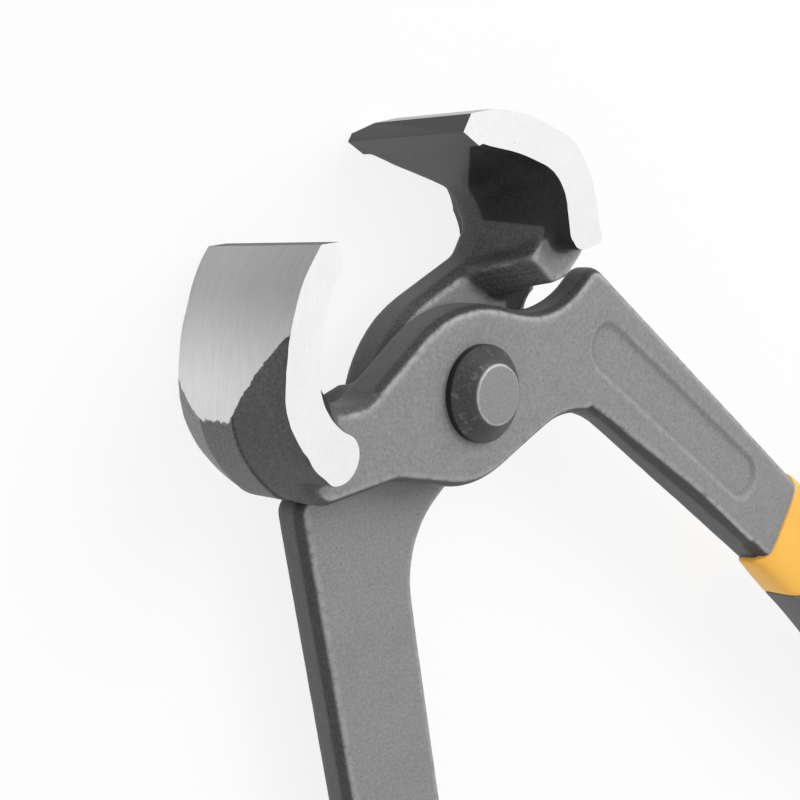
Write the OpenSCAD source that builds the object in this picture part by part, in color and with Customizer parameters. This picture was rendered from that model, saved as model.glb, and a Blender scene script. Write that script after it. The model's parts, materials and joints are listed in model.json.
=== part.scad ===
// End cutting nippers (carpenter's pincers), lying flat with the pivot axis upright, opened as in the photo.
// Two forged levers of one pattern cross at one rivet; the rear one is turned over. Millimetres and degrees.

/* [Jaws] */
// Width of a jaw along its cutting edge
jaw_width = 21; // [18:0.5:26]
// From the pivot axis to the cutting edges
edge_reach = 33; // [30:0.5:37]
// From the tool's middle line to the back of a closed jaw
jaw_back = 24; // [22:0.5:27]
// Thickness of the hook behind the hollow
jaw_depth = 7.1; // [5:0.1:8.5]
// How far both ground bevels run back from a cutting edge
bevel_run = 1.8; // [1:0.1:3]
// How far the top of a jaw stands above its cutting edge
bevel_rise = 1.95; // [1:0.05:3]
// How far the hollow starts below a cutting edge
bevel_drop = 1.65; // [1:0.05:3]
// Forged draft on the back of a jaw, from its flash land to its side on the plate's side
plate_side_draft = 0.9; // [0.4:0.1:1.6]
// The same draft on the far side
far_side_draft = 1.05; // [0.4:0.05:1.6]

/* [Levers] */
// Thickness of a lever's plate at the joint
lever_thickness = 6.75; // [5:0.25:8.5]
// Nominal radius of the flat joint plate round the rivet
plate_radius = 12.4; // [10:0.2:14]
// From the tool's middle line to the outer edge of a closed handle
handle_outer = 26; // [24:0.2:30]
// From the tool's middle line to the inner edge of a closed handle
handle_inner = 11.3; // [9:0.1:13]
// How far the outer handle edge leans outward on its way to the grip
handle_lean = 0.6; // [0:0.1:2]
// How much narrower the handle gets on its way to the grip
handle_taper = 0.8; // [0:0.1:2]
// From the pivot axis down to the front handle's shoulder
front_shoulder_drop = 10; // [9:0.1:12]
// From the pivot axis down to the rear handle's shoulder
rear_shoulder_drop = 7.4; // [7.2:0.1:12]
// How much thinner a handle is than the joint plate
handle_relief = 1.4; // [0:0.05:2]
// Depth of the forged slope on each side of the trimmed flash line
draft_depth = 1.45; // [0.8:0.05:2]
// How far the flash line stands out from the face edges
draft_run = 0.85; // [0.4:0.05:1.4]
// Rounding of the face edges
edge_round = 0.4; // [0.2:0.05:0.8]
// Rounding of a handle's shoulder, seen from the front
shoulder_round = 1.8; // [1:0.1:3]
// Play between the two plates
plate_gap = 0.04; // [0.02:0.01:0.1]

/* [Pocket] */
// Length of the sunk pocket on the outer face of a handle
pocket_length = 46; // [30:1:50]
// Width of the pocket
pocket_width = 6.9; // [4:0.1:8]
// Depth of the pocket
pocket_depth = 0.5; // [0.2:0.1:1]
// From the pivot axis down to the upper end of the pocket
pocket_drop = 14.8; // [13:0.2:18]
// How far the pocket leans from the tool's middle line
pocket_lean = 2.4; // [0:0.1:4]

/* [Rivet] */
// Diameter of the shank
rivet_shank = 8; // [6:0.5:10]
// Diameter of a head where it meets the plate
rivet_head = 12.6; // [11:0.2:15]
// Diameter of the flat top of a head
rivet_flat = 7.65; // [5:0.1:9]
// Height of a head
rivet_height = 3.25; // [2:0.05:3.6]
// Play round the shank in the turning lever
pivot_play = 0.05; // [0.02:0.01:0.1]

/* [Grips] */
// From the pivot axis down to the start of a grip, on the grip's sides
grip_drop = 70; // [68:0.5:80]
// Length of a grip
grip_length = 95; // [80:0.5:110]
// Greatest width of a grip
grip_width = 19.4; // [17:0.2:22]
// Greatest thickness of a grip
grip_thickness = 12.4; // [10:0.2:12.6]
// How far the collar stands out round the steel
collar_step = 0.45; // [0.2:0.05:1]
// How much further down the collar starts on the grip's faces
collar_scoop = 1.6; // [0.5:0.1:3]
// Wall of the soft sleeve
sleeve_wall = 1.5; // [1:0.1:2]
// From the collar's start to the start of the sleeve on the grip's sides
sleeve_drop = 10.2; // [6:0.2:15]
// How much further down the sleeve starts on the grip's faces
sleeve_scoop = 4; // [2:0.5:8]
// Bare butt of the core below the sleeve
butt_length = 7; // [4:0.5:12]
// Width of the tang inside a grip
tang_width = 10.5; // [8:0.5:12]
// Thickness of the tang
tang_thickness = 4.2; // [3:0.2:5]
// How far the tang reaches into the grip
tang_length = 76; // [50:1:82]

/* [Opening] */
// How far each lever is turned from closed
open_angle = 21.3; // [0:0.1:23]

/* [Hidden] */
// Half of the jaw's width, which is also the height of the pivot's middle plane above the table
jaw_half = jaw_width / 2;
// Where the joint faces of the two plates lie
joint_face = plate_gap / 2;
// Overrun of cuts, and how deep joined forms reach into each other
overrun = 0.6;
// Room between the other lever's plate and the clearance cut round it, and that cut's radius at the joint face
throat_clearance = 1.2;
throat_radius = plate_radius + draft_run + throat_clearance;
// Slope of that clearance: how much wider it is per unit of height
throat_slope = 0.8;
// Steps of each rounded corner of an outline
corner_steps = 7;
// Points round a grip
grip_points = 32;
// Squareness of a grip's section: 2 is an ellipse
grip_power = 3.6;

// Corners of the jaw's hook below its bevels: across as shares of jaw_back, up as shares of edge_reach,
// and the corner's radius as a share of jaw_back
crown_shares = [-0.412, 1.056, 1.12];
back_shares = [-1, 0.824, 0.51];
heel_shares = [-1.079, 0.4515, 0.125];
// The heel's corner on the jaw's sides, where the forging dies draw it in
side_heel_shares = [-0.977, 0.43, 0.104];
hollow_shares = [-0.7, 0.748, 0.29];
arch_shares = [-0.415, 0.869, 1.2];

// Corners of the lever's upper edge from the jaw to the handle, as shares of plate_radius, with the radius
upper_shares = [
    [-1.42, 2.14, 0], [-1.37, 1.73, 0.24], [-0.935, 1.215, 0.36], [0.597, 0.79, 1.37]
];
// Where that edge turns into the handle's shoulder: across as a share of plate_radius, down as a share of the
// shoulder's drop, and the radius as a share of plate_radius
shoulder_shares = [1.242, 0.745, 1.37];
// Corners of the lever's lower edge from the jaw to the handle, as shares of plate_radius, with the radius
lower_shares = [
    [-1.75, 1.69, 0], [-1.952, 1.1935, 0.16], [-1.27, 0.512, 0.32], [-0.766, -0.54, 1.13],
    [0.863, -1.371, 1.5]
];
// Root of the jaw on the far side of the joint face, likewise
root_shares = [
    [-1.87, 1.6, 0], [-1.935, 1.09, 0.14], [-1.58, 0.855, 0.2], [-0.95, 0.823, 0], [-0.6, 0.83, 0],
    [-0.64, 1.17, 0], [-1.08, 1.22, 0.2], [-1.4, 1.5, 0]
];
// The ridge that the forging dies leave inside the hollow: the hollow's side and the ridge's crest at each step
// from the blade to the plate, across as shares of jaw_back and up as shares of edge_reach
ridge_side_shares = [
    [-0.092, 0.979], [-0.208, 0.952], [-0.342, 0.915], [-0.479, 0.873], [-0.57, 0.825], [-0.69, 0.72],
    [-0.73, 0.6], [-0.75, 0.49]
];
ridge_crest_shares = [
    [-0.077, 0.953], [-0.208, 0.879], [-0.323, 0.82], [-0.408, 0.777], [-0.483, 0.741], [-0.546, 0.652],
    [-0.569, 0.565], [-0.521, 0.455]
];
// How far the crest's ground flat spreads from the flash line to the jaw's sides at each step, as a share
ridge_spread_shares = [0.97, 0.68, 0.36, 0.14, 0, 0, 0, 0];
// The round end of the ground face above the plate, as shares of jaw_depth: its radius, and how far its centre
// lies in from the jaw's back and above the heel
lobe_radius_share = 0.493;
lobe_shares = [0.542, 0.755];
// Where the handle's inner edge straightens, as a share of plate_radius below the pivot axis
inner_knee_share = 2.4;
// How far the jaw's root reaches up into the plate, as a share of lever_thickness
root_rise_share = 0.5;
// Both edges of the flash land on the back of a jaw, as shares of jaw_half from the joint's middle plane
land_shares = [-0.48, 0.14];

// Along a grip as shares of grip_length, with the swelling of its width and its thickness from the collar's size
// to the full size as shares
swell_shares = [
    [0, 0, 0], [0.03, 0.13, 0.09], [0.062, 0.24, 0.17], [0.1, 0.32, 0.26], [0.16, 0.34, 0.4], [0.24, 0.5, 0.62],
    [0.34, 0.84, 0.87], [0.44, 1, 1], [0.56, 0.97, 0.97], [0.68, 0.82, 0.88], [0.78, 0.76, 0.84],
    [0.86, 0.82, 0.88], [0.925, 0.94, 0.94], [0.965, 0.84, 0.88], [0.99, 0.2, 0.6], [1, -0.8, 0.2]
];

// Outline functions
function unit(v) = v / norm(v);
function turned(v, a) = [v.x * cos(a) - v.y * sin(a), v.x * sin(a) + v.y * cos(a)];
function flat(p) = [p.x, p.y];

// Points of the arc that rounds corner b between a and c, kept short enough for its two edges
function corner(a, b, c, radius) =
    let (
        u = unit(a - b),
        w = unit(c - b),
        half = acos(u * w) / 2,
        run = min(radius / tan(half), 0.62 * norm(a - b), 0.62 * norm(c - b)),
        start = b + u * run,
        centre = b + unit(u + w) * run / cos(half),
        turn = (180 - 2 * half) * sign(cross(b - a, c - b))
    )
    [for (i = [0 : corner_steps]) centre + turned(start - centre, turn * i / corner_steps)];

// An open line with its inner corners rounded by their third value
function open_line(p) = [
    flat(p[0]),
    for (i = [1 : len(p) - 2]) each corner(flat(p[i - 1]), flat(p[i]), flat(p[i + 1]), p[i].z),
    flat(p[len(p) - 1])
];

// A closed outline, likewise; a corner with no radius stays sharp
function closed_line(p) = [
    for (i = [0 : len(p) - 1])
        each p[i].z > 0
            ? corner(flat(p[(i + len(p) - 1) % len(p)]), flat(p[i]), flat(p[(i + 1) % len(p)]), p[i].z)
            : [flat(p[i])]
];

// The line moved sideways to its left by d at every point
function moved(line, d) = [
    for (i = [0 : len(line) - 1])
        let (
            before = line[max(i - 1, 0)],
            after = line[min(i + 1, len(line) - 1)]
        )
        line[i] + turned(unit(after - before), 90) * d
];

// Corners given as shares, in millimetres
function hook_corner(s) = [s.x * jaw_back, s.y * edge_reach, s.z * jaw_back];
function plate_corners(shares) = [for (s = shares) s * plate_radius];

// Outlines of the jaw, the lever's two edges and the root, closed pose, jaw on the left
crown = hook_corner(crown_shares);
crown_height = edge_reach + bevel_rise;
back = hook_corner(back_shares);
hollow = hook_corner(hollow_shares);
heel = hook_corner(heel_shares);
side_heel = hook_corner(side_heel_shares);
hook_inside = -(jaw_back - jaw_depth);
hook_outline = closed_line([
    [0, edge_reach, 0],
    [-bevel_run, crown_height, 0],
    [crown.x, crown_height, crown.z],
    back,
    heel,
    [hook_inside, side_heel.y, side_heel.z],
    [hook_inside, hollow.y, hollow.z],
    hook_corner(arch_shares),
    [-bevel_run, edge_reach - bevel_drop, 0]
]);
steel_end = -grip_drop - collar_scoop - overrun;
function upper_line(shoulder_drop) = open_line(concat(plate_corners(upper_shares), [
    [shoulder_shares.x * plate_radius, -shoulder_shares.y * shoulder_drop, shoulder_shares.z * plate_radius],
    [handle_outer, -shoulder_drop, shoulder_round],
    [handle_outer + handle_lean, steel_end, 0]
]));
lower_line = open_line(concat(plate_corners(lower_shares), [
    [handle_inner, -inner_knee_share * plate_radius, plate_radius],
    [handle_inner + handle_lean + handle_taper, steel_end, 0]
]));
root_outline = closed_line(plate_corners(root_shares));

// A lever's edge from its joint face up to its outer face: which face a step is measured from, how deep it lies
// below that face, and how far it stands out from the face's edge
edge_profile = [
    [0, 0, -edge_round],
    [0, edge_round / 2, -edge_round / 4],
    [0, draft_depth, draft_run],
    [1, draft_depth, draft_run],
    [1, edge_round / 2, edge_round / 4],
    [1, edge_round / 6, -edge_round / 3],
    [1, 0, -edge_round]
];

// How much of the handle's relief each ring of the plate takes: none up to the shoulder's curve, all after it
first_relief_ring = 1 + len(upper_shares) * (corner_steps + 1) - corner_steps - 1;
function relief_taken(i) = min(1, max(0, (i - first_relief_ring) / corner_steps));

// The middle of the closed handle at the grip, and the collar round it
grip_x = (handle_outer + handle_inner + handle_taper) / 2 + handle_lean;
collar_half_width = (handle_outer - handle_inner - handle_taper) / 2 + draft_run + collar_step;
collar_half_thickness = (lever_thickness - handle_relief) / 2 + collar_step;

// The front handle is thinned on its joint side and the rear one on its outer side: each joint-side relief
front_relief = handle_relief;
rear_relief = 0;
// The grinder took the far side of the front jaw's back straight across, and followed the crown on the rear one
front_far_draft = [far_side_draft, 0];
rear_far_draft = [far_side_draft, far_side_draft];
function handle_middle(relief) = (lever_thickness - handle_relief) / 2 + relief;

// Stations of the soft sleeve, from its start to the butt
sleeve_start = sleeve_drop / grip_length;
sleeve_end = 1 - butt_length / grip_length;
sleeve_stations = [
    sleeve_start,
    for (s = swell_shares) if (s[0] > sleeve_start * 1.1 && s[0] < sleeve_end * 0.99) s[0],
    sleeve_end
];

// The drawing's origin lies below the middle of the part's box, on the table
opened_hook_top = max([for (p = hook_outline) turned(p, open_angle).y]);
opened_grip_end = min([
    for (s = swell_shares, p = grip_ring(s[0], 0, front_relief)) turned(p, open_angle).y
]);
middle_y = (opened_hook_top + opened_grip_end) / 2;

// All parts

// A solid between two rows of rings, each ring a list of points in the same order
module rings_solid(rings) {
    n = len(rings[0]);
    last = len(rings) - 1;
    side_faces = [
        for (i = [0 : last - 1], k = [0 : n - 1])
            each [
                [i * n + k, (i + 1) * n + (k + 1) % n, i * n + (k + 1) % n],
                [i * n + k, (i + 1) * n + k, (i + 1) * n + (k + 1) % n]
            ]
    ];
    end_faces = [
        for (k = [0 : n / 2 - 2])
            each [
                [k, k + 1, n - 1 - k],
                [k + 1, n - 2 - k, n - 1 - k],
                [last * n + k, last * n + n - 1 - k, last * n + k + 1],
                [last * n + k + 1, last * n + n - 1 - k, last * n + n - 2 - k]
            ]
    ];
    polyhedron(points = [for (r = rings) each r], faces = concat(side_faces, end_faces));
}

// The flat forging from the jaw's neck to the grip: drafted sides with a trimmed flash line between them
module lever_plate(shoulder_drop, relief) {
    upper_base = upper_line(shoulder_drop);
    upper = [for (e = edge_profile) moved(upper_base, e.z)];
    lower = [for (e = edge_profile) moved(lower_line, -e.z)];
    levels = len(edge_profile);
    rings_solid([
        for (i = [0 : len(upper_base) - 1])
            let (
                low = joint_face + relief_taken(i) * relief,
                high = lever_thickness - relief_taken(i) * (handle_relief - relief),
                height = [for (e = edge_profile) e.x == 0 ? low + e.y : high - e.y]
            )
            concat(
                [for (j = [0 : levels - 1]) [upper[j][i].x, upper[j][i].y, height[j]]],
                [for (j = [levels - 1 : -1 : 0]) [lower[j][i].x, lower[j][i].y, height[j]]]
            )
    ]);
}

// The jaw's outer form at one height, open to the right: moved by the draft, with its own heel corner
function jaw_form(draft, heel_corner) = closed_line([
    [jaw_back, crown_height + draft.y, 0],
    [crown.x + draft.x, crown_height + draft.y, crown.z],
    [back.x + draft.x, back.y + draft.y, back.z],
    heel_corner,
    [jaw_back, heel_corner.y - jaw_depth / 2, 0]
]);

// That form with its draft: thickest along the flash land and drawn in towards both sides
module drafted_form(far_draft) {
    slice = overrun / 10;
    slip = overrun / 6;
    land_heel = heel - [slip, slip, 0];
    plate_side_heel = side_heel + [plate_side_draft / 2, 0, 0];
    hull() {
        for (s = land_shares)
            translate([0, 0, s * jaw_half]) linear_extrude(slice) polygon(jaw_form([-slip, slip], land_heel));
        translate([0, 0, jaw_half + overrun])
            linear_extrude(slice) polygon(jaw_form([plate_side_draft, plate_side_draft], plate_side_heel));
        translate([0, 0, -jaw_half - overrun])
            linear_extrude(slice) polygon(jaw_form(far_draft, side_heel));
    }
}

// The ridge inside the hollow, where the two dies met: its flat crest is the trimmed flash line, ground away to
// a wide flat behind the cutting edge
module hollow_ridge() {
    top = jaw_half - overrun;
    land_low = draft_depth;
    land_high = lever_thickness - draft_depth;
    rings_solid([
        for (i = [0 : len(ridge_side_shares) - 1])
            let (
                side = [ridge_side_shares[i].x * jaw_back, ridge_side_shares[i].y * edge_reach],
                crest = [ridge_crest_shares[i].x * jaw_back, ridge_crest_shares[i].y * edge_reach],
                inside = side + unit(side - crest) * jaw_depth / 3,
                spread = ridge_spread_shares[i],
                low = land_low - spread * (land_low + top),
                high = land_high + spread * (top - land_high)
            )
            [
                [inside.x, inside.y, -top],
                [side.x, side.y, -top],
                [crest.x, crest.y, low],
                [crest.x, crest.y, high],
                [side.x, side.y, top],
                [inside.x, inside.y, top]
            ]
    ]);
}

// The hooked jaw with its bevels, and the root that joins it to the plate past the joint face
module jaw(far_draft) {
    difference() {
        union() {
            intersection() {
                translate([0, 0, -jaw_half]) linear_extrude(jaw_width) polygon(hook_outline);
                drafted_form(far_draft);
            }
            translate([0, 0, -lever_thickness])
                linear_extrude(lever_thickness * (1 + root_rise_share)) polygon(root_outline);
            hollow_ridge();
        }
        throat();
        heel_step();
    }
}

// Clearance for the other lever's plate: a wide cone round the pivot below the joint face
module throat() {
    depth = jaw_half + overrun;
    translate([0, 0, -depth])
        cylinder(h = depth + overrun, r1 = throat_radius + throat_slope * depth,
            r2 = throat_radius - throat_slope * overrun, $fn = 96);
}

// The round end of the ground face above the plate: everything outside it is cut down into the plate
module heel_step() {
    lobe_radius = lobe_radius_share * jaw_depth;
    lobe_x = -jaw_back + lobe_shares.x * jaw_depth;
    lobe_y = side_heel.y + lobe_shares.y * jaw_depth;
    translate([lobe_x, lobe_y, lever_thickness - overrun])
        linear_extrude(jaw_half)
            difference() {
                translate([-jaw_depth, -jaw_depth * 2]) square([jaw_depth * 2, jaw_depth * 2]);
                circle(r = lobe_radius, $fn = 64);
            }
}

// The narrowed end of the forging inside the grip
module tang(relief) {
    translate([grip_x - tang_width / 2, -grip_drop - tang_length, handle_middle(relief) - tang_thickness / 2])
        cube([tang_width, tang_length, tang_thickness]);
}

// The sunk pocket on the handle's outer face
module pocket(relief) {
    middle = (handle_outer + handle_inner) / 2;
    reach = pocket_length - pocket_width;
    face = lever_thickness - handle_relief + relief;
    translate([middle, -pocket_drop - pocket_width / 2, face - pocket_depth])
        rotate([0, 0, pocket_lean])
            linear_extrude(pocket_depth + overrun) {
                circle(d = pocket_width, $fn = 48);
                translate([0, -reach]) circle(d = pocket_width, $fn = 48);
                translate([-pocket_width / 2, -reach]) square([pocket_width, reach]);
            }
}

// One forged lever, closed pose, its jaw on the left and its plate above the joint face
module lever(bore_radius, shoulder_drop, relief, far_draft) {
    difference() {
        union() {
            lever_plate(shoulder_drop, relief);
            jaw(far_draft);
            tang(relief);
        }
        translate([0, 0, -overrun]) cylinder(h = lever_thickness + 2 * overrun, r = bore_radius, $fn = 96);
        pocket(relief);
    }
}

// Grip sections: half sizes and the lengthwise place at each station, and the ring of points there
function swell(t, column) = lookup(t, [for (s = swell_shares) [s[0], s[column]]]);
function grip_half_width(t) = collar_half_width + (grip_width / 2 - collar_half_width) * swell(t, 1);
function grip_half_thickness(t) =
    collar_half_thickness + (grip_thickness / 2 - collar_half_thickness) * swell(t, 2);
function rounded_power(v) = sign(v) * pow(abs(v), 2 / grip_power);
function scoop(t) = lookup(t, [
    [0, collar_scoop], [sleeve_start, sleeve_scoop], [sleeve_start * 2, sleeve_scoop / 2], [sleeve_start * 3, 0]
]);
function grip_ring(t, inset, relief) = [
    for (k = [0 : grip_points - 1])
        let (a = 360 * (k + 0.5) / grip_points)
        [
            grip_x + (grip_half_width(t) - inset) * rounded_power(cos(a)),
            -grip_drop - t * grip_length - scoop(t) * (1 - pow(abs(cos(a)), grip_power)),
            handle_middle(relief) + (grip_half_thickness(t) - inset) * rounded_power(sin(a))
        ]
];

// The hard core, sunk under the sleeve
module grip_core(shoulder_drop, relief) {
    collar = [for (s = swell_shares) if (s[0] < sleeve_start * 0.99) grip_ring(s[0], 0, relief)];
    butt = [for (s = swell_shares) if (s[0] > sleeve_end * 1.01) grip_ring(s[0], 0, relief)];
    under = [for (t = sleeve_stations) grip_ring(t, sleeve_wall, relief)];
    difference() {
        rings_solid(concat(
            collar,
            [grip_ring(sleeve_start, 0, relief)],
            under,
            [grip_ring(sleeve_end, 0, relief)],
            butt
        ));
        tang(relief);
        lever_plate(shoulder_drop, relief);
    }
}

// The soft sleeve, a tube round the core
module grip_sleeve(relief) {
    outer = [for (t = sleeve_stations) grip_ring(t, 0, relief)];
    inner = [for (t = sleeve_stations) grip_ring(t, sleeve_wall, relief)];
    n = grip_points;
    rings = concat(outer, [for (i = [len(inner) - 1 : -1 : 0]) inner[i]]);
    count = len(rings);
    polyhedron(
        points = [for (r = rings) each r],
        faces = [
            for (i = [0 : count - 1], k = [0 : n - 1])
                let (
                    j = (i + 1) % count,
                    m = (k + 1) % n
                )
                each i < len(outer) - 1
                    ? [[i * n + k, j * n + m, i * n + m], [i * n + k, j * n + k, j * n + m]]
                    : [[i * n + k, j * n + k, i * n + m], [i * n + m, j * n + k, j * n + m]]
        ]
    );
}

// Placing: on the table, with the front lever as drawn or the rear one turned over
module placed() {
    translate([0, -middle_y, jaw_half]) children();
}
module as_front() {
    placed() rotate([0, 0, open_angle]) children();
}
module as_rear() {
    placed() rotate([0, 0, -open_angle]) rotate([0, 180, 0]) children();
}

// The parts
module front_lever() {
    color("#8a8d8f") as_front()
        lever(rivet_shank / 2 + pivot_play, front_shoulder_drop, front_relief, front_far_draft);
}

module rear_lever() {
    color("#7b7e80") as_rear()
        lever(rivet_shank / 2, rear_shoulder_drop, rear_relief, rear_far_draft);
}

module pivot_rivet() {
    head = lever_thickness + plate_gap / 2;
    color("#5c5e60") placed()
        rotate_extrude($fn = 96)
            polygon([
                [0, -lever_thickness - rivet_height],
                [rivet_flat / 2, -lever_thickness - rivet_height],
                [rivet_head / 2, -lever_thickness],
                [rivet_shank / 2, -lever_thickness],
                [rivet_shank / 2, head],
                [rivet_head / 2, head],
                [rivet_flat / 2, head + rivet_height],
                [0, head + rivet_height]
            ]);
}

module front_grip_core() {
    color("#f2a91c") as_front() grip_core(front_shoulder_drop, front_relief);
}

module front_grip_sleeve() {
    color("#55585a") as_front() grip_sleeve(front_relief);
}

module rear_grip_core() {
    color("#f2a91c") as_rear() grip_core(rear_shoulder_drop, rear_relief);
}

module rear_grip_sleeve() {
    color("#55585a") as_rear() grip_sleeve(rear_relief);
}

front_lever();
rear_lever();
pivot_rivet();
front_grip_core();
front_grip_sleeve();
rear_grip_core();
rear_grip_sleeve();
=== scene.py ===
"""End cutting nippers: the looks of the tool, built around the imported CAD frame.

The two levers are the CAD solids turned into level sets, with their forged corners rounded and their ground
faces cut flat again. The rivet and the grips are turned and lofted finer than in CAD. Levers and grips are
made in their lever's own closed frame, in millimetres, and then placed in the shared frame.
"""
import json
import math

import bmesh
import bpy
import numpy as np
import openvdb as vdb
from mathutils import Matrix, Vector


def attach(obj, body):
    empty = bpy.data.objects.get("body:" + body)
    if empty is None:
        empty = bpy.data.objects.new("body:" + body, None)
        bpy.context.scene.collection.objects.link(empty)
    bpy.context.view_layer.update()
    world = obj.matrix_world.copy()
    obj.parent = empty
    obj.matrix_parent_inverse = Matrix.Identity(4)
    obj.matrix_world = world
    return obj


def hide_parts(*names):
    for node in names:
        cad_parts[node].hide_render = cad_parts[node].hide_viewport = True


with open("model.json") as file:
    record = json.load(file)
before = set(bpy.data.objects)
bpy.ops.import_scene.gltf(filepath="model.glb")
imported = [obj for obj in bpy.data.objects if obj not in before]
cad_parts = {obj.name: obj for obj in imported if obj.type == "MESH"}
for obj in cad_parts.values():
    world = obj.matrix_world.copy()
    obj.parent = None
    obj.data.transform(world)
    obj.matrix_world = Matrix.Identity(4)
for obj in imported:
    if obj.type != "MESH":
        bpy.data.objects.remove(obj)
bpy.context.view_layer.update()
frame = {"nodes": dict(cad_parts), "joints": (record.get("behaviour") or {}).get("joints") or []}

# Where things are: the pivot, and the closed frame of each lever (jaw on the left, joint face at z 0)
MM = 0.001
PIVOT = Vector(frame["joints"][0]["pos_m"])
OPEN = math.radians(21.3)
FRONT = Matrix.Translation(PIVOT) @ Matrix.Rotation(OPEN, 4, "Z")
REAR = Matrix.Translation(PIVOT) @ Matrix.Rotation(-OPEN, 4, "Z") @ Matrix.Rotation(math.pi, 4, "Y")

# Sizes taken over from the CAD source, in millimetres
JAW_HALF = 10.5
PLATE_TOP = 6.75
HANDLE_RELIEF = 1.4
GRIP_DROP = 70.0
GRIP_LENGTH = 95.0
GRIP_X = 19.65
COLLAR_HALF_WIDTH = 8.25
COLLAR_HALF_THICKNESS = 3.125
GRIP_HALF_WIDTH = 9.7
GRIP_HALF_THICKNESS = 6.2
SLEEVE_WALL = 1.5
SLEEVE_START = 10.2 / GRIP_LENGTH
SLEEVE_END = 1 - 7.0 / GRIP_LENGTH
COLLAR_SCOOP = 1.6
SLEEVE_SCOOP = 4.0
GRIP_POWER = 3.6

# Level set of a lever: voxel size, fillets in hollow corners, rounding of outer corners, and its box
VOXEL = 0.3
FILLET = 0.7
ROUND = 0.25
LOW = np.array([-26.7, -75.0, -12.6])
HIGH = np.array([29.4, 37.2, 12.6])
FIRST = np.round(LOW / VOXEL).astype(int)
LAST = np.round(HIGH / VOXEL).astype(int)
# Voxels that a level set knows beyond what is asked of it, and how many spreads a blur reaches
SPARE_VOXELS = 4
BLUR_REACH = 2.5

# The middle of the hook's curve, the cutting edge and the top of the jaw
HOOK = (-8.0, 22.0)
EDGE = Vector((0, 33, 0))
TIP_TOP = 34.95

# The brushed part of a jaw's back ends at an angle round the hook, in degrees: its value at the near side
# face, its gain per millimetre from there, its most, and the height and rate of its fall to the far side
BRUSHED_NEAR = 111.5
BRUSHED_GAIN = 4.6
BRUSHED_MOST = 156.5
BRUSHED_FALL_FROM = -5.0
BRUSHED_FALL = 3.0


# Node helpers
class Shader:
    """A material whose nodes are added one by one; a method that adds a node returns its output."""

    def __init__(self, name):
        self.material = bpy.data.materials.new(name)
        self.material.use_nodes = True
        self.nodes = self.material.node_tree.nodes
        self.links = self.material.node_tree.links
        self.surface = self.nodes["Principled BSDF"]

    def put(self, socket, value):
        """Link an input to an output, or set its value."""
        if isinstance(value, bpy.types.NodeSocket):
            self.links.new(value, socket)
        else:
            socket.default_value = value

    def math(self, operation, a, b=0.0):
        node = self.nodes.new("ShaderNodeMath")
        node.operation = operation
        self.put(node.inputs[0], a)
        self.put(node.inputs[1], b)
        return node.outputs[0]

    def times(self, a, b):
        return self.math("MULTIPLY", a, b)

    def plus(self, a, b):
        return self.math("ADD", a, b)

    def minus(self, a, b):
        return self.math("SUBTRACT", a, b)

    def ramp(self, value, low, high, out_low=0.0, out_high=1.0):
        """A soft step from one output value to another while the input goes from low to high."""
        node = self.nodes.new("ShaderNodeMapRange")
        node.interpolation_type = "SMOOTHSTEP"
        self.put(node.inputs["Value"], value)
        self.put(node.inputs["From Min"], low)
        self.put(node.inputs["From Max"], high)
        self.put(node.inputs["To Min"], out_low)
        self.put(node.inputs["To Max"], out_high)
        return node.outputs["Result"]

    def mix(self, factor, a, b):
        node = self.nodes.new("ShaderNodeMix")
        node.data_type = "FLOAT"
        self.put(node.inputs[0], factor)
        self.put(node.inputs[2], a)
        self.put(node.inputs[3], b)
        return node.outputs[0]

    def mix_color(self, factor, a, b):
        node = self.nodes.new("ShaderNodeMix")
        node.data_type = "RGBA"
        self.put(node.inputs[0], factor)
        self.put(node.inputs[6], a)
        self.put(node.inputs[7], b)
        return node.outputs[2]

    def place(self):
        """Object coordinates in millimetres."""
        coordinates = self.nodes.new("ShaderNodeTexCoord")
        scaled = self.nodes.new("ShaderNodeVectorMath")
        scaled.operation = "SCALE"
        scaled.inputs["Scale"].default_value = 1 / MM
        self.links.new(coordinates.outputs["Object"], scaled.inputs[0])
        return scaled.outputs[0]

    def parts(self, vector):
        """The vector's x, y and z."""
        node = self.nodes.new("ShaderNodeSeparateXYZ")
        self.links.new(vector, node.inputs[0])
        return node.outputs

    def stretched(self, vector, turn, scale):
        """The vector turned about z by an angle in degrees and then scaled."""
        node = self.nodes.new("ShaderNodeMapping")
        node.vector_type = "TEXTURE"
        self.links.new(vector, node.inputs["Vector"])
        node.inputs["Rotation"].default_value = (0, 0, math.radians(turn))
        node.inputs["Scale"].default_value = [1 / s for s in scale]
        return node.outputs[0]

    def noise(self, vector, scale, detail=3.0, rough=0.55):
        node = self.nodes.new("ShaderNodeTexNoise")
        self.links.new(vector, node.inputs["Vector"])
        node.inputs["Scale"].default_value = scale
        node.inputs["Detail"].default_value = detail
        node.inputs["Roughness"].default_value = rough
        return node.outputs["Fac"]

    def attribute(self, name):
        node = self.nodes.new("ShaderNodeAttribute")
        node.attribute_name = name
        return node.outputs["Fac"]

    def grey(self, value):
        node = self.nodes.new("ShaderNodeCombineColor")
        for socket in node.inputs[:3]:
            self.put(socket, value)
        return node.outputs[0]

    def bump(self, height, strength, distance):
        node = self.nodes.new("ShaderNodeBump")
        node.inputs["Strength"].default_value = strength
        node.inputs["Distance"].default_value = distance
        self.links.new(height, node.inputs["Height"])
        return node.outputs[0]

    def finish(self, color, metallic, roughness, normal=None, specular=0.5):
        """Fill in the surface and return the material."""
        self.put(self.surface.inputs["Base Color"], color)
        self.put(self.surface.inputs["Metallic"], metallic)
        self.put(self.surface.inputs["Roughness"], roughness)
        self.put(self.surface.inputs["Specular IOR Level"], specular)
        if normal is not None:
            self.put(self.surface.inputs["Normal"], normal)
        return self.material


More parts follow.
